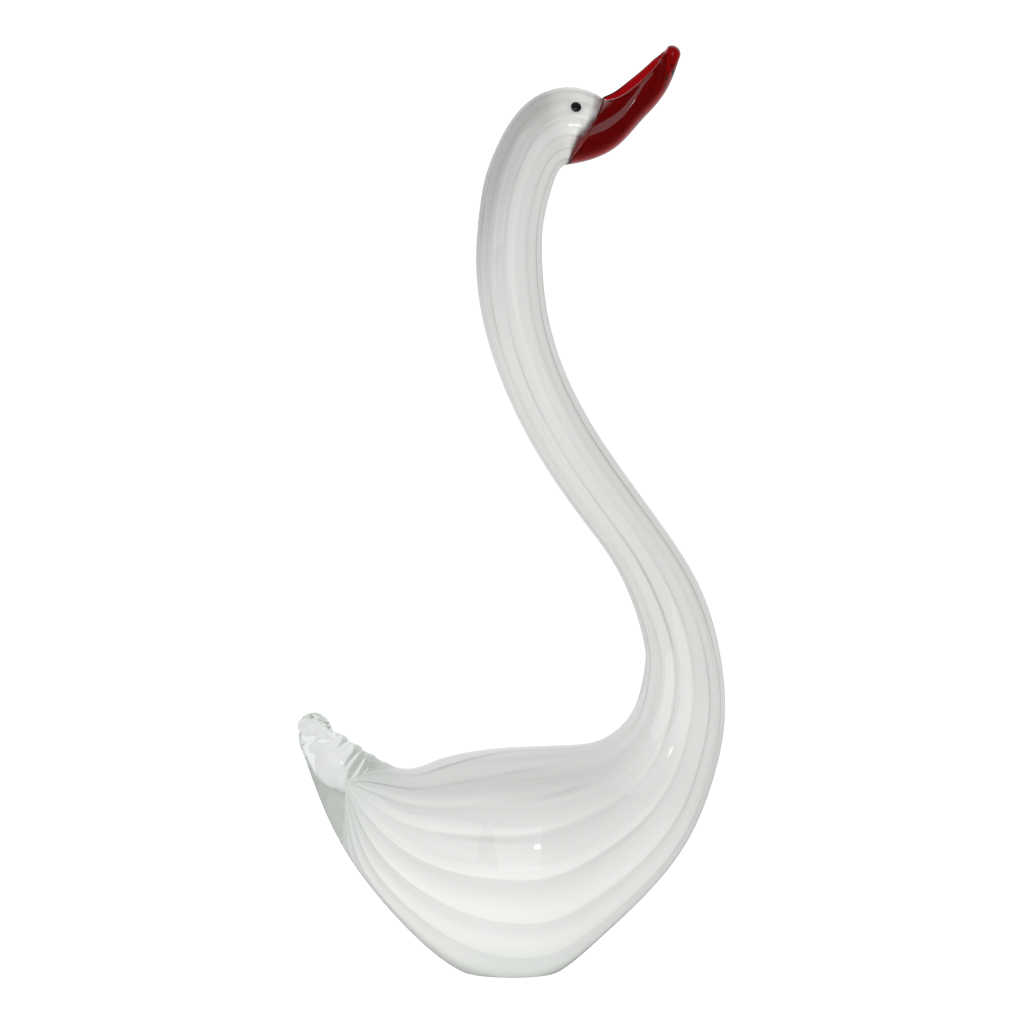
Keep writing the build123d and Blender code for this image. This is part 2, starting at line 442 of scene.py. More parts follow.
# x, z of the sheared rim, from the head to the nose
RIM_LINE = np.array([
    (45.7, 431.1), (51.1, 432.6), (58.5, 437.4), (68.1, 445.6), (74.5, 452.4), (78.3, 456.9)])
RUMP = np.array([-82.0, 0.0, 95.6])
RUMP_RISE = math.radians(35.0)
BALL_ANGLES = np.radians([30.0, 60.0])  # where a round end has its rings


def bubble_rings() -> Rings:
    """Rings of the outer face of the bubble, from the rump to the mouth."""
    rows = [(x, z, turn, part.depth * deep, part.width * wide) for part, x, z, turn, deep, wide, _ in BUBBLE]
    return Rings(np.array(rows))


def bubble_walls() -> tuple[Array, Array]:
    """Clear casing and white layer at each ring, in millimetres."""
    return np.array([row[0].casing for row in BUBBLE]), np.array([row[0].white for row in BUBBLE])


def layer_rings(depth: Array) -> Rings:
    """Rings of a surface a given depth inside the outer face, and deeper over the heel."""
    heel = np.array([row[-1] for row in BUBBLE]) * FOOT_HEEL
    return bubble_rings().inset(depth + heel, depth)


def rump_point(gap: float) -> Array:
    """Point where a bubble closes, the given gap inside the outermost one."""
    return RUMP + np.array([math.cos(RUMP_RISE), 0.0, -math.sin(RUMP_RISE)]) * gap


def layer_rows(
    depth: Array, rump: float, columns: int, step: float, relief: float = 0.0, short: float = 0.0,
) -> tuple[Array, Array, Array]:
    """One face of a layer, from the rump to the mouth.

    Args:
        depth: how deep it lies inside the bubble at each ring.
        rump: the same at the rump.
        columns: points in a row.
        step: distance between rows.
        relief: depth of the valleys between ribs on the body.
        short: how far before the mouth it ends.

    Returns:
        Its rows, their share of the way, and the distance left to the mouth.
    """
    turns = circle(columns)
    size = np.sqrt(bubble_rings().table[:, 3:4] / Part.BODY.depth)
    valley = relief * size * (1 - np.cos(RIB_COUNT * turns)) / 2
    points = np.vstack([pole(rump_point(rump), columns), layer_rings(depth).outline(turns, valley)])
    knots = knots_of(points)
    last = knots[-1] - short
    at = np.linspace(step, last, int(last / step))
    return smooth_rows(points, knots, at), at / knots[-1], knots[-1] - at


def round_end(ring: Array, way: int) -> tuple[Rings, Array]:
    """Close a round end beyond a ring: sections of a ball, and its last point.

    Args:
        ring: one row of a ring table.
        way: 1 to run forwards along the heading, -1 to run back.

    Returns:
        The rings of the ball and its pole.
    """
    one = Rings(ring[None, :])
    radius = ring[3] / 2
    up, along = one.up()[0], one.along()[0]
    middle = one.foot()[0] + up * radius
    rows = []
    for angle in BALL_ANGLES:
        size = 2 * radius * math.cos(angle)
        foot = middle + along * (way * radius * math.sin(angle)) - up * (size / 2)
        rows.append((foot[0], foot[2], ring[2], size, size))
    return Rings(np.array(rows)), middle + along * (way * radius)


def ground(points: Array, soft: float = 0.35) -> Array:
    """Flatten what hangs below the floor.

    The new height is half of the old one plus half the root of its square and
    the softening length's square.

    Args:
        points: any array of points, millimetres.
        soft: softening length of the bend at the floor.

    Returns:
        The flattened points.
    """
    flat = points.copy()
    flat[..., 2] = (points[..., 2] + np.sqrt(points[..., 2] ** 2 + soft * soft)) / 2
    return flat


# ---- Finishes ----
class Wire:
    """Shorthand for adding nodes to one tree."""

    def __init__(self, tree: NodeTree) -> None:
        """Keep the tree, emptied."""
        self.tree = tree
        tree.nodes.clear()

    def feed(self, socket: NodeSocket, value: object) -> None:
        """Link an output to a socket, or write a plain value into it.

        Args:
            socket: the input.
            value: an output, a number or a tuple; three numbers make a colour.
        """
        if isinstance(value, NodeSocket):
            self.tree.links.new(value, socket)
        elif socket.type == "RGBA":
            socket.default_value = (*value, 1.0)
        else:
            socket.default_value = value

    def node(self, kind: str, values: dict[str, object] | None = None, **settings: object) -> Node:
        """Add a node.

        Args:
            kind: the node's type.
            values: what goes into its sockets, by name.
            settings: the node's own properties.

        Returns:
            The node.
        """
        node = self.tree.nodes.new(kind)
        for key, value in settings.items():
            setattr(node, key, value)
        for key, value in (values or {}).items():
            self.feed(node.inputs[key], value)
        return node

    def put(self, kind: str, values: Sequence[object], output: int = 0, **settings: object) -> NodeSocket:
        """Add a node and fill its sockets in their own order.

        Args:
            kind: the node's type.
            values: what goes into each socket, None for one that is left alone.
            output: which output is wanted.
            settings: the node's own properties.

        Returns:
            That output.
        """
        node = self.node(kind, **settings)
        for socket, value in zip(node.inputs, values):
            if value is not None:
                self.feed(socket, value)
        return node.outputs[output]

    def math(self, operation: str, *values: object, clamp: bool = False) -> NodeSocket:
        """A Math node of the given operation."""
        return self.put("ShaderNodeMath", values, operation=operation, use_clamp=clamp)

    def product(self, first: object, second: object) -> NodeSocket:
        """One value times another."""
        return self.math("MULTIPLY", first, second)

    def total(self, first: object, second: object) -> NodeSocket:
        """One value plus another."""
        return self.math("ADD", first, second)

    def beyond(self, value: object, level: object, clamp: bool = False) -> NodeSocket:
        """How far a value lies above a level."""
        return self.math("SUBTRACT", value, level, clamp=clamp)

    def blend(self, share: object, low: object, high: object) -> NodeSocket:
        """A mix of two colours."""
        return self.put("ShaderNodeMix", (share, *[None] * 5, low, high), 2, data_type="RGBA")

    def value_mix(self, share: object, low: object, high: object) -> NodeSocket:
        """A mix of two values."""
        return self.put("ShaderNodeMix", (share, None, low, high), data_type="FLOAT")

    def vector(self, *parts: object) -> NodeSocket:
        """A vector of three values."""
        return self.put("ShaderNodeCombineXYZ", parts)

    def parts(self, vector: NodeSocket) -> Sequence[NodeSocket]:
        """The three values of a vector."""
        return self.node("ShaderNodeSeparateXYZ", {"Vector": vector}).outputs

    def span(self, value: object, low: float, high: float, to_low: float, to_high: float) -> NodeSocket:
        """A smooth step that maps one span of values to another."""
        spans = (value, low, high, to_low, to_high)
        return self.put("ShaderNodeMapRange", spans, interpolation_type="SMOOTHSTEP")

    def noise(self, vector: object, scale: float, detail: float, rough: float = 0.5) -> NodeSocket:
        """A noise value between 0 and 1."""
        values = {"Vector": vector, "Scale": scale, "Detail": detail, "Roughness": rough}
        return self.node("ShaderNodeTexNoise", values, noise_dimensions="3D").outputs["Fac"]

    def shaders(self, share: object, first: object, second: object) -> NodeSocket:
        """A mix of two shaders."""
        return self.put("ShaderNodeMixShader", (share, first, second))


def new_material(name: str) -> tuple[Material, Wire, NodeInputs]:
    """An empty node material.

    Args:
        name: the material's name.

    Returns:
        The material, the wire for its tree, and the sockets of its output node.
    """
    material = bpy.data.materials.new(name)
    material.use_nodes = True
    wire = Wire(material.node_tree)
    return material, wire, wire.node("ShaderNodeOutputMaterial").inputs


@dataclass(frozen=True)
class ClearGlass:
    """Polished glass that scattered light and lamps reach through, coloured in its thickness."""

    name: str
    tint: Triple
    depth_tint: Triple
    depth_density: float
    ior: float = 1.5
    shadow: Triple = (1.0, 1.0, 1.0)

    def make(self) -> Material:
        """Glass for sight, plain see-through for lamps and scattered light, and absorption inside.

        Returns:
            The material.
        """
        material, wire, out = new_material(self.name)
        glass = wire.node("ShaderNodeBsdfPrincipled", {
            "Base Color": self.tint, "Roughness": 0.0, "IOR": self.ior, "Transmission Weight": 1.0})
        clear = wire.node("ShaderNodeBsdfTransparent", {"Color": self.shadow}).outputs[0]
        path = wire.node("ShaderNodeLightPath").outputs
        lit = wire.shaders(path["Is Diffuse Ray"], glass.outputs[0], clear)
        wire.feed(out["Surface"], wire.shaders(path["Is Shadow Ray"], lit, clear))
        inside = {"Color": self.depth_tint, "Density": self.depth_density}
        wire.feed(out["Volume"], wire.node("ShaderNodeVolumeAbsorption", inside).outputs[0])
        return material


@dataclass(frozen=True)
class MilkyGlass:
    """White glass blown in an optic mould.

    Low on the bird each rib brightens across its width and ends in a sharp
    edge. High up the milk is stretched thin, and a rib shows as a fine dark
    streak. Threads and clouds run along the ribs. Noise scales are counted
    against a circle of radius 1 round the bird.
    """

    name: str
    milk: Triple = (0.955, 0.955, 0.94)
    thin: Triple = (0.795, 0.815, 0.80)
    bare: Triple = (0.52, 0.50, 0.51)
    bare_span: Pair = (0.16, 0.60)  # densities between which bare turns to milk
    crest: float = 0.82  # where on a rib's width its bright edge lies
    lean: float = 0.075  # how far the ribs climb over the back, in turns
    lean_span: Pair = (0.02, 0.34)  # over which share of the length they do
    wander: float = 0.05  # how far they stray, in turns
    wander_scale: float = 1.1
    stretch: float = 2.2  # the bird's whole length in noise units
    ribbed_span: Pair = (0.62, 0.84)  # densities between streaks and bright edges
    rib_depth: float = 0.24
    rib_curve: float = 1.5  # power by which a rib brightens across
    rib_mean: float = 0.45
    rib_edge: float = 0.08  # width of the sharp edge, in ribs
    streak_depth: float = 0.24
    streak_at: float = 0.16  # middle of a streak past the edge, in ribs
    streak_width: float = 0.13
    patch_scale: float = 2.6
    patch_span: Pair = (0.36, 0.66)  # noise between no streak and a full one
    thread_depth: float = 0.15
    thread_scale: Pair = (9.0, 1.2)  # round the bird, and along it
    cloud_depth: float = 0.16
    cloud_scale: float = 1.7
    milk_from: float = 0.35  # density above which the pattern is at full strength
    glow_span: Four = (0.35, 1.0, 0.46, 0.16)  # density to share let through
    cover_curve: float = 1.6
    cover_most: float = 0.98

    def pattern(self, wire: Wire) -> NodeSocket:
        """Density of the milk from its ribs, threads and clouds.

        The phase is the place on a rib's width, from 0 at its edge to 1. A
        bright rib is the phase to a power, and a streak is a smooth bump in it.

        Args:
            wire: the wire for the material's tree.

        Returns:
            The density, between 0 and 1.
        """
        around, along, _ = wire.parts(wire.node("ShaderNodeUVMap", uv_map="pattern").outputs[0])
        angle = wire.product(around, 2 * math.pi)
        turn = (wire.math("COSINE", angle), wire.math("SINE", angle))
        ring = wire.vector(*turn, wire.product(along, self.stretch))
        density = wire.node("ShaderNodeAttribute", attribute_name="milk").outputs["Fac"]

        wander = self.uneven(wire, wire.noise(ring, self.wander_scale, 2.0), self.wander)
        climb = wire.span(along, *self.lean_span, -0.5, 0.5)
        lean = wire.product(wire.product(climb, wire.math("MAXIMUM", turn[0], 0.0)), self.lean)
        ribbed = wire.product(wire.total(around, wire.total(wander, lean)), float(RIB_COUNT))
        phase = wire.math("FRACT", wire.total(ribbed, self.crest + RIB_COUNT))
        edge = wire.span(phase, 0.0, self.rib_edge, 1.0, 0.0)
        edge = wire.math("MAXIMUM", wire.math("POWER", phase, self.rib_curve), edge)
        edge = wire.product(wire.beyond(edge, self.rib_mean), self.rib_depth)
        off = wire.math("ABSOLUTE", wire.beyond(phase, self.streak_at))
        patchy = wire.span(wire.noise(ring, self.patch_scale, 1.0), *self.patch_span, 0.0, 1.0)
        streak = wire.product(wire.span(off, 0.0, self.streak_width, 1.0, 0.0), patchy)
        streak = wire.product(streak, -self.streak_depth)
        rib = wire.value_mix(wire.span(density, *self.ribbed_span, 0.0, 1.0), streak, edge)

        fine = [wire.product(value, self.thread_scale[0]) for value in turn]
        long = wire.vector(*fine, wire.product(along, self.thread_scale[1]))
        thread = self.uneven(wire, wire.noise(long, 1.0, 4.0, 0.6), self.thread_depth)
        cloud = self.uneven(wire, wire.noise(ring, self.cloud_scale, 2.0), self.cloud_depth)
        pattern = wire.total(rib, wire.total(thread, cloud))
        there = wire.span(density, 0.0, self.milk_from, 0.0, 1.0)
        return wire.math("ADD", density, wire.product(pattern, there), clamp=True)

    def uneven(self, wire: Wire, noise: NodeSocket, depth: float) -> NodeSocket:
        """A noise turned into a value of the given depth about 0."""
        return wire.product(wire.beyond(noise, 0.5), depth)

    def make(self) -> Material:
        """Milk that scatters light from both sides, and clear glass where it runs thin.

        Returns:
            The material.
        """
        material, wire, out = new_material(self.name)
        cover = self.pattern(wire)
        colour = wire.blend(cover, self.thin, self.milk)
        colour = wire.blend(wire.span(cover, *self.bare_span, 0.0, 1.0), self.bare, colour)
        front = wire.node("ShaderNodeBsdfDiffuse", {"Color": colour})
        back = wire.node("ShaderNodeBsdfTranslucent", {"Color": colour})
        clear = wire.node("ShaderNodeBsdfTransparent")
        milk = wire.shaders(wire.span(cover, *self.glow_span), front.outputs[0], back.outputs[0])
        left = wire.math("POWER", wire.beyond(1.0, cover), self.cover_curve)
        opacity = wire.product(wire.beyond(1.0, left), self.cover_most)
        wire.feed(out["Surface"], wire.shaders(opacity, clear.outputs[0], milk))
        return material


@dataclass(frozen=True)
class OpaqueGlass:
    """Dense polished glass that light doesn't enter."""

    name: str
    colour: Triple
    pale: Triple
    roughness: float = 0.04
    ior: float = 1.5
    grain: float = 900.0  # mottles to a metre

    def make(self) -> Material:
        """A dark body with a polished face and the faintest mottling.

        Returns:
            The material.
        """
        material, wire, out = new_material(self.name)
        place = wire.node("ShaderNodeTexCoord").outputs["Object"]
        colour = wire.blend(wire.noise(place, self.grain, 2.0), self.colour, self.pale)
        shell = wire.node("ShaderNodeBsdfPrincipled", {
            "Base Color": colour, "Roughness": self.roughness, "IOR": self.ior})
        wire.feed(out["Surface"], shell.outputs[0])
        return material


# ---- Pieces ----
def hand_over(piece: Object, material: Material, slot: Slot, *nodes: str) -> None:
    """Dress a finished piece and tie it to the frame.

    Args:
        piece: the object.
        material: its finish.
        slot: the material slot it stands for; not used.
        nodes: the nodes it stands for.
    """
    piece.data.materials.clear()
    piece.data.materials.append(material)
    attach(piece, "root")
    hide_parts(*nodes)
    log.info("%s: %d faces, stands for %s", piece.name, len(piece.data.polygons), ", ".join(nodes))


@dataclass
class ClearBody:
    """The smooth outer glass, drawn on into the tail, and the chamber inside it."""

    columns: int = 144
    tail_step: float = 0.9
    body_step: float = 2.6
    crimps: int = 4  # marks the jacks leave across the ridge
    crimp_radius: float = 6.0
    crimp_bite: float = 1.0
    crimp_reach: float = 13.2  # how far below the ridge a jack mark is felt
    crimp_run: float = 0.5  # length of ridge that gives its direction at a mark
    flat_depth: float = 1.6  # how deep the jacks press the flanks of the ridge
    flat_pitch: float = 12.5  # distance from one flat to the next
    flat_lean: float = 0.35  # pitches a flat runs on for each radian
    flat_span: Pair = (17.0, 62.0)  # distance from the end of the knob
    flat_turns: Pair = (0.05, 1.65)  # angle from the ridge
    flat_fade: Pair = (0.7, 1.5)  # powers of the sine along the ridge and round it
    swirl: float = 1.6  # depth of the twist left in the knob
    swirl_reach: float = 27.0
    deep_twist: Pair = (1.5, 0.26)  # half the creases, radians to a millimetre
    fine_twist: Pair = (2.5, -0.2)
    finish: ClearGlass = ClearGlass(
        "clear glass", (0.972, 0.985, 0.974), (0.80, 0.86, 0.825), 16.0, ior=1.42)

    def outer_rows(self) -> tuple[Array, Array]:
        """Rows from the knob over the tail and the bird to the mouth.

        Returns:
            The rows, and the knob's pole.
        """
        knob, tip = round_end(TAIL.table[0], -1)
        bird = Rings(bubble_rings().table[HAUNCH:])
        rings = knob.turned_back().joined(TAIL).joined(bird)
        turns = circle(self.columns)
        points = np.vstack([pole(tip, self.columns), rings.outline(turns)])
        knots = knots_of(points)
        haunch = knots[-len(bird.table)]
        tail = np.arange(self.tail_step, haunch, self.tail_step)
        rest = np.linspace(haunch, knots[-1], int((knots[-1] - haunch) / self.body_step))
        rows = smooth_rows(points, knots, np.concatenate([tail, rest]))
        worked = drawn_in(rows[:len(tail)], self.twist(tail, turns))
        worked = drawn_in(worked, self.flats(tail, turns))
        rows[:len(tail)] = self.crimped(worked)
        return ground(rows), tip

    def twist(self, at: Array, turns: Array) -> Array:
        """Depth of the twist in the knob.

        One less the size of a cosine leaves creases that wind round the knob:
        three, of 1.5 times the angle plus 0.26 times the distance, and five
        that wind the other way at half the depth. Both rise and fall as a
        squared sine over the reach.

        Args:
            at: distance of each row from the end of the knob.
            turns: angle of each column.

        Returns:
            Depths, rows x columns.
        """
        share = np.sin(np.pi * ramp(at, 0.0, self.swirl_reach)) ** 2
        deep, fine = (
            1 - np.abs(np.cos(half * turns[None, :] + rate * at[:, None]))
            for half, rate in (self.deep_twist, self.fine_twist))
        return self.swirl * share[:, None] * np.maximum(deep, fine / 2)

    def flats(self, at: Array, turns: Array) -> Array:
        """Depth of the row of flats on either flank of the ridge.

        It is the full depth times the size of the sine of the distance over
        the pitch, so a sharp ridge stands between neighbours. The flats lean
        with the angle, and fade out as powers of a sine towards the crest and
        the underside, and at both ends.

        Args:
            at: distance of each row from the end of the knob.
            turns: angle of each column.

        Returns:
            Depths, rows x columns.
        """
        off = np.abs(np.arctan2(np.sin(turns), np.cos(turns)))
        share = np.sin(np.pi * ramp(at, *self.flat_span)) ** self.flat_fade[0]
        flank = np.sin(np.pi * ramp(off, *self.flat_turns)) ** self.flat_fade[1]
        wave = np.abs(np.sin(np.pi * (at[:, None] / self.flat_pitch + self.flat_lean * off)))
        return self.flat_depth * share[:, None] * flank * wave

    def crimped(self, rows: Array) -> Array:
        """Press the jack marks into the ridge of the tail.

        Each mark is a round bar across the ridge. A point within the bar's
        reach along the ridge is lowered, square to the ridge, to the bar's
        underside: the root of the bar's radius squared less its offset squared.

        Args:
            rows: rows of the tail.

        Returns:
            The pressed rows.
        """
        ridge_rings = TAIL.turned_back()
        top = ridge_rings.foot() + ridge_rings.up() * ridge_rings.table[:, 3:4]
        root = bubble_rings()
        first = root.foot()[HAUNCH] + root.up()[HAUNCH] * root.table[HAUNCH, 3]
        ridge = np.vstack([first[None], top])[:, None, :]
        knots = knots_of(ridge)
        for index in range(self.crimps):
            at = knots[-1] * (index + 0.5) / (self.crimps + 1)
            here, ahead = smooth_rows(ridge, knots, np.array([at, at + self.crimp_run]))[:, 0]
            run = (ahead - here) / np.linalg.norm(ahead - here)
            normal = np.array([-run[2], 0.0, run[0]])
            normal *= np.sign(normal[2])
            offset = rows - (here + normal * (self.crimp_radius - self.crimp_bite))
            height, reach = offset @ normal, offset @ run
            under = -np.sqrt(np.clip(self.crimp_radius**2 - reach**2, 0, None))
            felt = (np.abs(reach) < self.crimp_radius) & (height > -self.crimp_reach)
            drop = np.where(felt, np.minimum(under - height, 0.0), 0.0)
            rows = rows + drop[..., None] * normal
        return rows

    def build(self) -> None:
        """Make one closed body of clear glass: the outer rows, then the chamber's from mouth to rump."""
        casing, white = bubble_walls()
        rump = casing[0] + 2 * white[0]
        outer, tip = self.outer_rows()
        chamber = layer_rows(casing + white, rump, self.columns, self.body_step)[0]
        piece = Skin("clear_body", np.vstack([outer, chamber[::-1]]), tip, rump_point(rump)).build()
        hand_over(piece, self.finish.make(), Slot.CLEAR, "clear_casing", "tail")


@dataclass
class WhiteLayer:
    """The milky ribbed layer held inside the wall of the clear glass."""

    columns: int = 192
    step: float = 2.6
    skin_gap: float = 0.3  # clear glass left between it and the chamber
    mouth_gap: float = 0.6
    bow: float = 3.8  # how far back the milk stops low on the sides of the head
    fade: float = 1.5  # over how much it thins out there
    bow_fade: float = 0.5  # and over how much of the bow besides
    fade_curve: float = 0.8
    belly: float = 0.95  # densities, and what is taken off or added
    back_loss: float = 0.28
    breast_loss: float = 0.22
    neck: float = 0.68
    crown_loss: float = 0.32
    # painted light: extra milk over the brow that lifts the shade the red sleeve casts inside the head
    brow_painted_light: float = 0.24
    back_heights: Pair = (18.0, 93.0)
    breast_places: Pair = (45.0, 85.0)
    neck_heights: Pair = (125.0, 185.0)
    crown_heights: Pair = (300.0, 395.0)
    crown_end: Pair = (5.0, 19.0)  # distance left to the mouth
    # distance left to the mouth over which the painted brow light fades out
    brow_painted_light_end: Pair = (4.0, 16.0)
    side_turns: Pair = (50.0, 180.0)  # degrees from the back line
    finish: MilkyGlass = MilkyGlass("milky ribbed glass")

    def build(self) -> None:
        """Make one closed shell, with the outer face ribbed and the inner face smooth."""
        casing, white = bubble_walls()
        faces = (casing, RIB_RELIEF), (casing + white - self.skin_gap, 0.0)
        rumps = casing[0], casing[0] + 2 * white[0] - self.skin_gap
        outer, inner = (
            layer_rows(depth, rump, self.columns, self.step, relief, self.mouth_gap)
            for (depth, relief), rump in zip(faces, rumps))
        rows, along, ahead = (np.concatenate([out, back[::-1]]) for out, back in zip(outer, inner))
        skin = Skin("white_layer", rows, *map(rump_point, rumps))
        skin.around = 1.0 - np.arange(self.columns) / self.columns
        skin.along = along
        skin.milk = self.density(rows, ahead[:, None])
        hand_over(skin.build(), self.finish.make(), Slot.WHITE, "white_layer")

    def density(self, rows: Array, ahead: Array) -> Array:
        """How dense the milk is at each point.

        Dense under the belly, thin over the back of the body, between the two
        along the neck, denser over the brow as painted light against the red
        sleeve's shade, and gone at the mouth. Below 50 degrees from the back
        line it stops short of the mouth by the bow times a squared sine.

        Args:
            rows: points, rows x columns x 3.
            ahead: distance left to the mouth, rows x 1.

        Returns:
            Densities, rows x columns.
        """
        x, z = rows[..., 0], rows[..., 2]
        turns = circle(self.columns)
        top = (1 + np.cos(turns)) / 2
        height, forward = ramp(z, *self.back_heights), ramp(x, *self.breast_places)
        body = self.belly - height * (self.back_loss * (1 - forward) + self.breast_loss * forward)
        neck = ramp(z, *self.neck_heights)
        milk = body * (1 - neck) + self.neck * neck
        milk = milk - self.crown_loss * ramp(z, *self.crown_heights) * top * ramp(ahead, *self.crown_end)
        # painted light: denser milk over the brow against the shade of the red sleeve
        milk = milk + self.brow_painted_light * top * (1 - ramp(ahead, *self.brow_painted_light_end))
        side = ramp(np.degrees(np.arccos(np.cos(turns))), *self.side_turns)
        stop = self.bow * np.sin(np.pi * side) ** 2
        return milk * ramp(ahead, stop, (1 + self.bow_fade) * stop + self.fade) ** self.fade_curve


def ellipse_turn(height: Array, deep: Array) -> Array:
    """Angle from an ellipse's lowest point to where it is that high, one a row."""
    return np.arccos(np.clip(1 - height / (deep / 2), -1, 1))


def ellipse_arc(deep: Array, wide: Array, turns: Array) -> tuple[Array, Array]:
    """Heights above an ellipse's lowest point and distances sideways, at angles from that point."""
    return deep[:, None] / 2 * (1 - np.cos(turns)), wide[:, None] / 2 * np.sin(turns)


@dataclass
class Beak:
    """Red scoop, open along the top and solid at the nose, with a sleeve inside the head."""

    half: int = 40  # points up one side of one face
    rim: int = 6  # points over one rim
    rows: int = 110
    crowding: float = 1.15  # how far the rows crowd towards the nose
    keel_wall: float = 2.2
    rim_wall: float = 1.4
    rim_rise: float = 0.7  # height of the round over the rim
    solid_from: float = 17.0  # how far before the last ring the keel starts to thicken
    solid_over: float = 19.0
    rings_at: int = 16  # angles at which rings are compared, both ends included
    line_points: int = 3000  # points along the drawn rim line
    onward_points: int = 600  # points on its straight run past the end
    onward_from: int = -40  # the run's direction is from this point to the last
    onward_span: Pair = (0.05, 12.0)  # its ends, in lengths of that stretch
    slit: float = 0.04  # half the gap left where the roof closes
    point: float = 0.02  # smallest size of a section
    skin: float = 0.05  # least drop from the rim to the inner keel
    sleeve_columns: int = 96
    sleeve_rows: int = 14
    sleeve_wall: float = 1.5
    sleeve_share: float = 0.64  # how much of the span from brow to mouth it laps
    sleeve_over: float = 0.4  # how far it runs on past the mouth
    lap: float = 0.25
    finish: ClearGlass = ClearGlass(
        "red glass", (0.37, 0.005, 0.008), (0.75, 0.05, 0.06), 150.0, shadow=(0.5, 0.03, 0.04))

    def rings(self) -> tuple[Rings, Array]:
        """Outer rings from the mouth to the nose, and the tip."""
        nose, tip = round_end(BEAK.table[-1], 1)
        return Rings(bubble_rings().table[MOUTH:MOUTH + 1]).joined(BEAK).joined(nose), tip

    def rim_heights(self, foot: Array, up: Array, along: Array) -> Array:
        """Height of the sheared rim above the keel in the plane of each row.

        The rim line is drawn on straight past its last point. Its point
        nearest to a row's plane gives that row's height.

        Args:
            foot: keel point of each row.
            up: the row's step from keel to crest.
            along: the row's step square to its plane.

        Returns:
            Heights, one a row.
        """
        line = np.insert(RIM_LINE, 1, 0.0, axis=1)[:, None, :]
        knots = knots_of(line)
        dense = smooth_rows(line, knots, np.linspace(0, knots[-1], self.line_points))[:, 0]
        run = np.linspace(*self.onward_span, self.onward_points)[:, None]
        onward = dense[-1] + (dense[-1] - dense[self.onward_from]) * run
        dense = np.vstack([dense, onward])
        off = np.abs(along @ dense.T - np.sum(foot * along, axis=1)[:, None])
        return np.sum((dense[np.argmin(off, axis=1)] - foot) * up, axis=1)

    def sections(self) -> tuple[Array, float]:
        """Ring tables of the rows of the scoop.

        Returns:
            One ring a row with its distance from the mouth in front, and the
            distance of the last full ring.
        """
        rings, tip = self.rings()
        end = [tip[0], tip[2], rings.table[-1, 2], self.point, self.point]
        table = np.vstack([rings.table, end])
        knots = knots_of(Rings(table).outline(np.linspace(0, 2 * np.pi, self.rings_at)))
        at = knots[-1] * (1 - (1 - np.linspace(0, 1, self.rows)) ** self.crowding)
        values = smooth_rows(table[:, None, :], knots, at)[:, 0]
        values[:, 3:] = np.maximum(values[:, 3:], self.point)
        return np.hstack([at[:, None], values]), knots[len(rings.table) - 3]

    def scoop(self) -> Array:
        """Closed sections of the scoop, one for each row.

        A section runs from the keel up the outer ellipse to the rim, over it in
        a half round, down the inner ellipse to the keel and up the other side.
        One less the cosine of an ellipse's angle is the height over half depth.

        Returns:
            Points, rows x columns x 3.
        """
        table, nose = self.sections()
        at, rows = table[:, 0], Rings(table[:, 1:])
        deep, wide = rows.table[:, 3], rows.table[:, 4]
        foot, up = rows.foot(), rows.up()
        rim = np.minimum(np.clip(self.rim_heights(foot, up, rows.along()), self.point, None), deep)
        rise = np.minimum(self.rim_rise, rim / 3)
        edge = rim - rise
        solid = np.clip((at - (nose - self.solid_from)) / self.solid_over, 0, 1)
        keel = self.keel_wall + (edge - self.keel_wall - self.skin) * solid**2
        keel = np.minimum(keel, np.maximum(edge - self.skin, self.point / 2))
        inner_deep = np.maximum(deep - keel - self.rim_wall, self.point)
        inner_wide = np.maximum(wide - 2 * self.rim_wall, self.point)
        inner_edge = np.clip(edge - keel, 0, inner_deep)
        share = np.linspace(0, 1, self.half)
        o_high, o_wide = ellipse_arc(deep, wide, ellipse_turn(edge, deep)[:, None] * share)
        i_turns = ellipse_turn(inner_edge, inner_deep)[:, None] * share[::-1]
        i_high, i_wide = ellipse_arc(inner_deep, inner_wide, i_turns)
        i_high = i_high + keel[:, None]
        i_wide[:, :-1] = np.maximum(i_wide[:, :-1], np.minimum(self.slit, wide[:, None] / 8))
        level = np.linspace(0, 1, self.rim + 2)[1:-1]
        gap = (o_wide[:, -1:] - i_wide[:, :1]) / 2
        r_wide = (o_wide[:, -1:] + i_wide[:, :1]) / 2 + gap * np.cos(np.pi * level)
        r_high = o_high[:, -1:] * (1 - level) + i_high[:, :1] * level + rise[:, None] * np.sin(np.pi * level)
        high = np.hstack([o_high, r_high, i_high])
        side = np.hstack([o_wide, r_wide, i_wide])
        high = np.hstack([high, high[:, -2:0:-1]])
        side = np.hstack([side, -side[:, -2:0:-1]])
        points = foot[:, None, :] + up[:, None, :] * high[:, :, None]
        points[:, :, 1] += side
        return points

    def sleeve(self) -> Array:
        """Rows of the sleeve: out along its inner face and back along its outer face.

        Returns:
            Points, rows x columns x 3.
        """
        casing, white = bubble_walls()
        faces = []
        for depth in (casing + white + self.sleeve_wall, casing + white - self.lap):
            points = layer_rings(depth).outline(circle(self.sleeve_columns))[BROW - 2:]
            knots = knots_of(points)
            first = knots[-1] - (knots[-1] - knots[-2]) * self.sleeve_share
            at = np.linspace(first, knots[-1] + self.sleeve_over, self.sleeve_rows)
            faces.append(smooth_rows(points, knots, at))
        return np.vstack([faces[0], faces[1][::-1]])

    def build(self) -> None:
        """Make the scoop and its sleeve as one piece of red glass."""
        piece = Skin("beak", self.scoop()).build()
        join(piece, Skin("beak_sleeve", self.sleeve(), loops=True).build())
        mend(piece, merge=2e-5, flat=1e-6, close=True)
        hand_over(piece, self.finish.make(), Slot.RED, "beak")


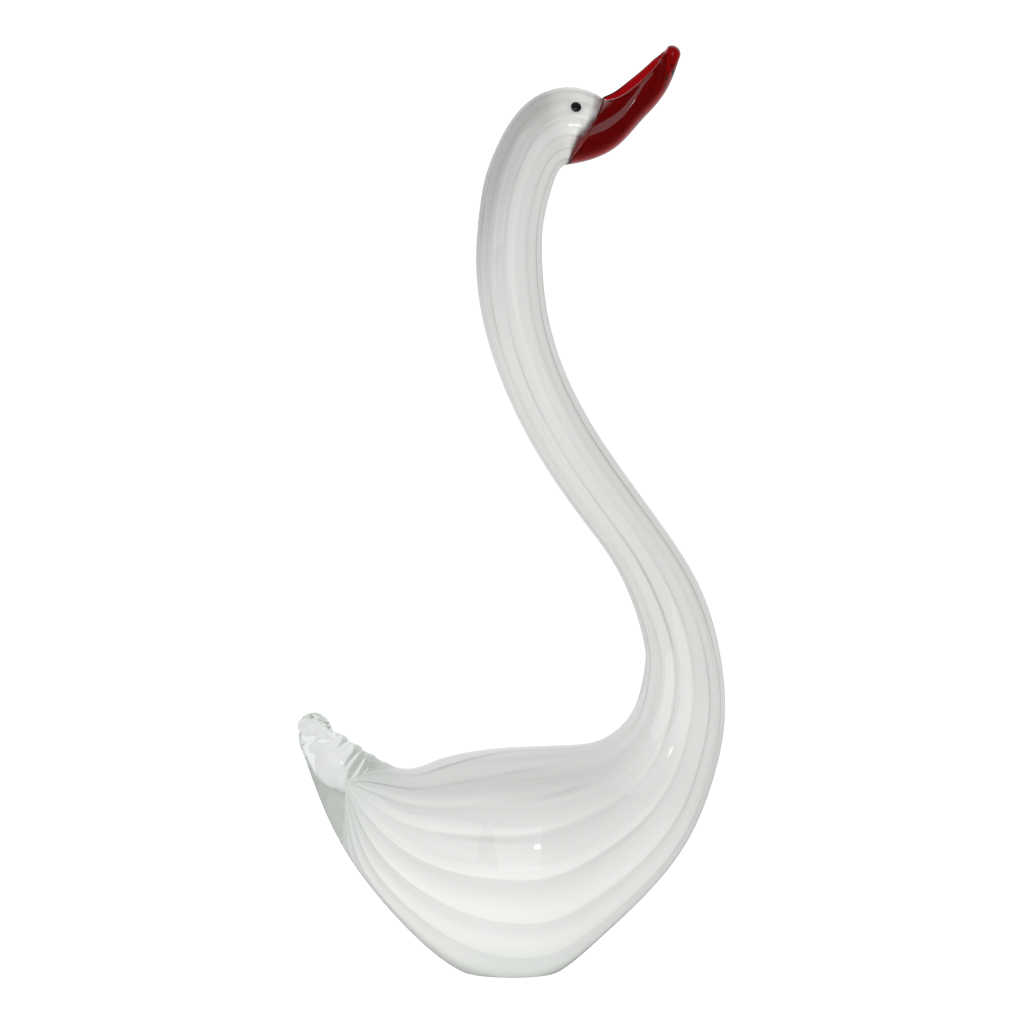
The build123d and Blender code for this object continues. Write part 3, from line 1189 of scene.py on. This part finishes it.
@dataclass
class Eye:
    """A dot of black glass melted onto the head."""

    side: int  # 1 for the swan's left, -1 for its right
    across: float = 5.2
    proud: float = 1.176  # how far it stands off the head
    drop: float = 8.1  # how far its middle is below the crown
    rows: int = 24
    columns: int = 40
    finish: OpaqueGlass = OpaqueGlass("black glass", (0.006, 0.006, 0.007), (0.010, 0.010, 0.0115))

    def build(self) -> None:
        """Make a low dome: a ball squashed along the line out of the head, half sunk in it.

        Its middle is on the brow ring's ellipse, and the line out of the head
        is the ellipse's own outward normal there.
        """
        rings = bubble_rings()
        depth, width = rings.table[BROW, 3], rings.table[BROW, 4]
        up = rings.up()[BROW]
        high = depth / 2 - self.drop
        sine = math.sqrt(1 - (2 * high / depth) ** 2)
        sideways = np.array([0.0, float(self.side), 0.0])
        seat = rings.foot()[BROW] + up * (depth / 2 + high) + sideways * (sine * width / 2)
        out = up * (4 * high / depth**2) + sideways * (2 * sine / width)
        out /= np.linalg.norm(out)
        first = np.cross(out, up)
        first /= np.linalg.norm(first)
        second = np.cross(out, first)
        polar = np.linspace(0, np.pi, self.rows + 2)[1:-1, None, None]
        turn = circle(self.columns)[None, :, None]
        ball = np.cos(polar) * out * self.proud
        ball = ball + np.sin(polar) * (np.cos(turn) * first + np.sin(turn) * second) * self.across / 2
        name = "eye_left" if self.side > 0 else "eye_right"
        piece = Skin(name, seat + ball, seat + out * self.proud, seat - out * self.proud).build()
        hand_over(piece, self.finish.make(), Slot.BLACK, name)


# ---- Studio ----
@dataclass(frozen=True)
class Softbox:
    """A soft lamp that faces the object, in metres and watts."""

    name: str
    place: Triple
    size: Pair  # width and height
    watts: float
    mirrored: bool = True  # whether polish shows it

    def build(self, centre: Triple) -> None:
        """Hang the lamp.

        Args:
            centre: the point it faces.
        """
        lamp = bpy.data.lights.new(self.name, "AREA")
        lamp.shape = "RECTANGLE"
        lamp.size, lamp.size_y = self.size
        lamp.energy = self.watts
        light = new_object(self.name, lamp)
        light.location = self.place
        light.rotation_euler = (Vector(centre) - Vector(self.place)).to_track_quat("-Z", "Y").to_euler()
        light.visible_camera = False
        light.visible_transmission = False
        light.visible_glossy = self.mirrored


@dataclass
class Studio:
    """White surroundings, a pale floor, soft lamps and the camera.

    Each fall is a span of a direction or a place, and the brightness at its
    two ends.
    """

    azimuth: float = -7.0
    elevation: float = 8.0
    distance: float = 12.0
    centre: Triple = (0.00063, 0.0, 0.2277)
    span: float = 0.5018  # width of the view, in metres
    film: float = 36.0
    far: float = 200.0
    level: float = 0.76
    bounces: int = 32  # light caught inside solid glass needs many
    mirror_fall: Four = (-0.1, 0.5, 0.05, 1.0)
    overhead_fall: Four = (0.25, 0.85, 1.0, 0.88)
    ahead_fall: Four = (-0.3, 0.3, 0.84, 0.94)
    floor_radius: float = 60.0
    floor_pale: float = 0.85
    floor_fall: Four = (-0.2, 0.8, 0.06, 0.85)
    floor_glow: Pair = (0.46, 0.14)  # to the eye, and through glass
    lamps: tuple[Softbox, ...] = (
        Softbox("softbox_right", (0.02, -1.33, 0.56), (0.80, 1.00), 2.9),
        Softbox("bulb_right", (0.32, -1.25, 0.54), (0.12, 0.09), 0.36),
        Softbox("softbox_left", (-1.05, -1.00, 0.72), (1.05, 1.05), 3.8),
        Softbox("light_table", (0.0, 0.0, 0.002), (1.2, 1.2), 1.45, mirrored=False),
    )

    def build(self) -> None:
        """Set up everything round the object."""
        self.world()
        self.floor()
        for lamp in self.lamps:
            lamp.build(self.centre)
        self.camera()
        scene = bpy.context.scene
        scene.view_settings.view_transform = "Standard"
        scene.cycles.max_bounces = self.bounces
        scene.cycles.glossy_bounces = self.bounces
        scene.cycles.transmission_bounces = self.bounces

    def world(self) -> None:
        """White to the eye and through glass, dimmer overhead and in front, plain on everything else."""
        world = bpy.data.worlds.new("surroundings")
        bpy.context.scene.world = world
        world.use_nodes = True
        wire = Wire(world.node_tree)
        path = wire.node("ShaderNodeLightPath").outputs
        _, y, z = wire.parts(wire.node("ShaderNodeTexCoord").outputs["Generated"])
        seen = wire.product(wire.span(z, *self.overhead_fall), wire.span(y, *self.ahead_fall))
        through = wire.beyond(path["Is Transmission Ray"], path["Is Diffuse Ray"], clamp=True)
        mirrored = wire.beyond(path["Is Glossy Ray"], path["Is Diffuse Ray"], clamp=True)
        strength = wire.value_mix(mirrored, self.level, wire.span(y, *self.mirror_fall))
        strength = wire.value_mix(through, strength, seen)
        strength = wire.value_mix(path["Is Camera Ray"], strength, 1.0)
        glow = wire.node("ShaderNodeBackground", {"Color": (1.0, 1.0, 1.0), "Strength": strength})
        wire.feed(wire.node("ShaderNodeOutputWorld").inputs["Surface"], glow.outputs[0])

    def floor(self) -> None:
        """A wide pale floor that keeps the shadow, and is dim where polish mirrors it from the front."""
        turn = circle(96)
        points = np.stack([np.cos(turn), np.sin(turn), np.zeros_like(turn)], axis=1) * self.floor_radius
        mesh = bpy.data.meshes.new("floor")
        mesh.from_pydata(points.tolist(), [], [list(range(len(points)))])
        floor = new_object("floor", mesh)
        material, wire, out = new_material("pale floor")
        path = wire.node("ShaderNodeLightPath").outputs
        shade = wire.span(wire.parts(wire.node("ShaderNodeTexCoord").outputs["Object"])[1], *self.floor_fall)
        paint = wire.node("ShaderNodeBsdfDiffuse", {"Color": (self.floor_pale,) * 3}).outputs[0]
        dim = wire.node("ShaderNodeBsdfDiffuse", {"Color": wire.vector(shade, shade, shade)}).outputs[0]
        through = wire.beyond(path["Is Transmission Ray"], path["Is Diffuse Ray"], clamp=True)
        mirrored = wire.beyond(path["Is Glossy Ray"], path["Is Transmission Ray"], clamp=True)
        to_eye, to_glass = map(wire.product, (path["Is Camera Ray"], through), self.floor_glow)
        glow = wire.node("ShaderNodeEmission", {"Strength": wire.total(to_eye, to_glass)}).outputs[0]
        both = wire.put("ShaderNodeAddShader", (wire.shaders(mirrored, paint, dim), glow))
        wire.feed(out["Surface"], both)
        mesh.materials.append(material)

    def camera(self) -> None:
        """A long lens from far away, level with the swan's flank."""
        turn, rise = math.radians(self.azimuth), math.radians(self.elevation)
        back = Vector((math.sin(turn) * math.cos(rise), -math.cos(turn) * math.cos(rise), math.sin(rise)))
        data = bpy.data.cameras.new("camera")
        data.sensor_width = self.film
        data.lens = self.film * self.distance / self.span
        data.clip_end = self.far
        camera = new_object("camera", data)
        camera.location = Vector(self.centre) + back * self.distance
        camera.rotation_euler = back.to_track_quat("Z", "Y").to_euler()
        bpy.context.scene.camera = camera


def main() -> None:
    """Build the swan and its studio."""
    logging.basicConfig(level=logging.INFO, format="%(message)s")
    ClearBody().build()
    WhiteLayer().build()
    Beak().build()
    for side in (1, -1):
        Eye(side).build()
    Studio().build()


if __name__ == "__main__":
    main()
